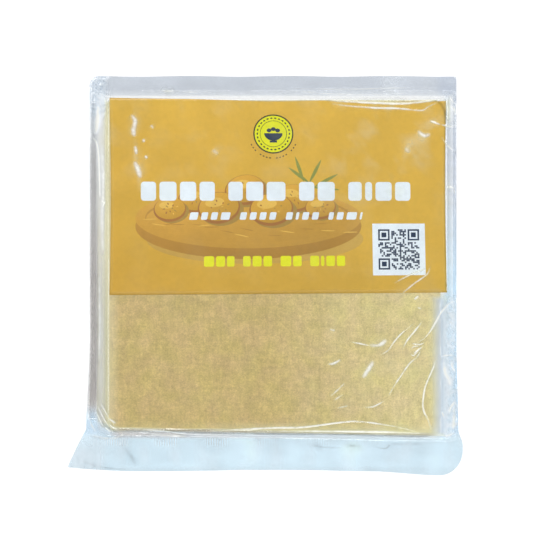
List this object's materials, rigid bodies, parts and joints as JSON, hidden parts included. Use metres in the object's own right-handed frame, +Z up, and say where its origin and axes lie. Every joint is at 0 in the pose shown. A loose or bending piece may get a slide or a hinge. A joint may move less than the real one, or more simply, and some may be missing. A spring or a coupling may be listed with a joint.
{
  "type": "sealed pack of rice paper wrappers",
  "caption": "Square stack of rice paper wrappers with a printed label sheet, sealed in a clear film pouch with a loose lower flap.",
  "frame": {"origin": "middle of the whole pack's footprint, on the surface that it lies on", "axes": "+Z up out of the label, +Y towards the label's head and the sealed end, +X to the label's right"},
  "size_m": [0.2402, 0.2421, 0.0134],
  "materials": {
    "clear_film": "thin clear film, glossy, with fine creases",
    "rice_paper": "tan, slightly translucent, finely speckled, with uneven edges",
    "printed_label": "smooth coated paper, mustard print"
  },
  "bodies": {
    "root": {"pouch": "clear_film", "wrapper_stack": "rice_paper", "label_sheet": "printed_label"}
  },
  "joints": []
}
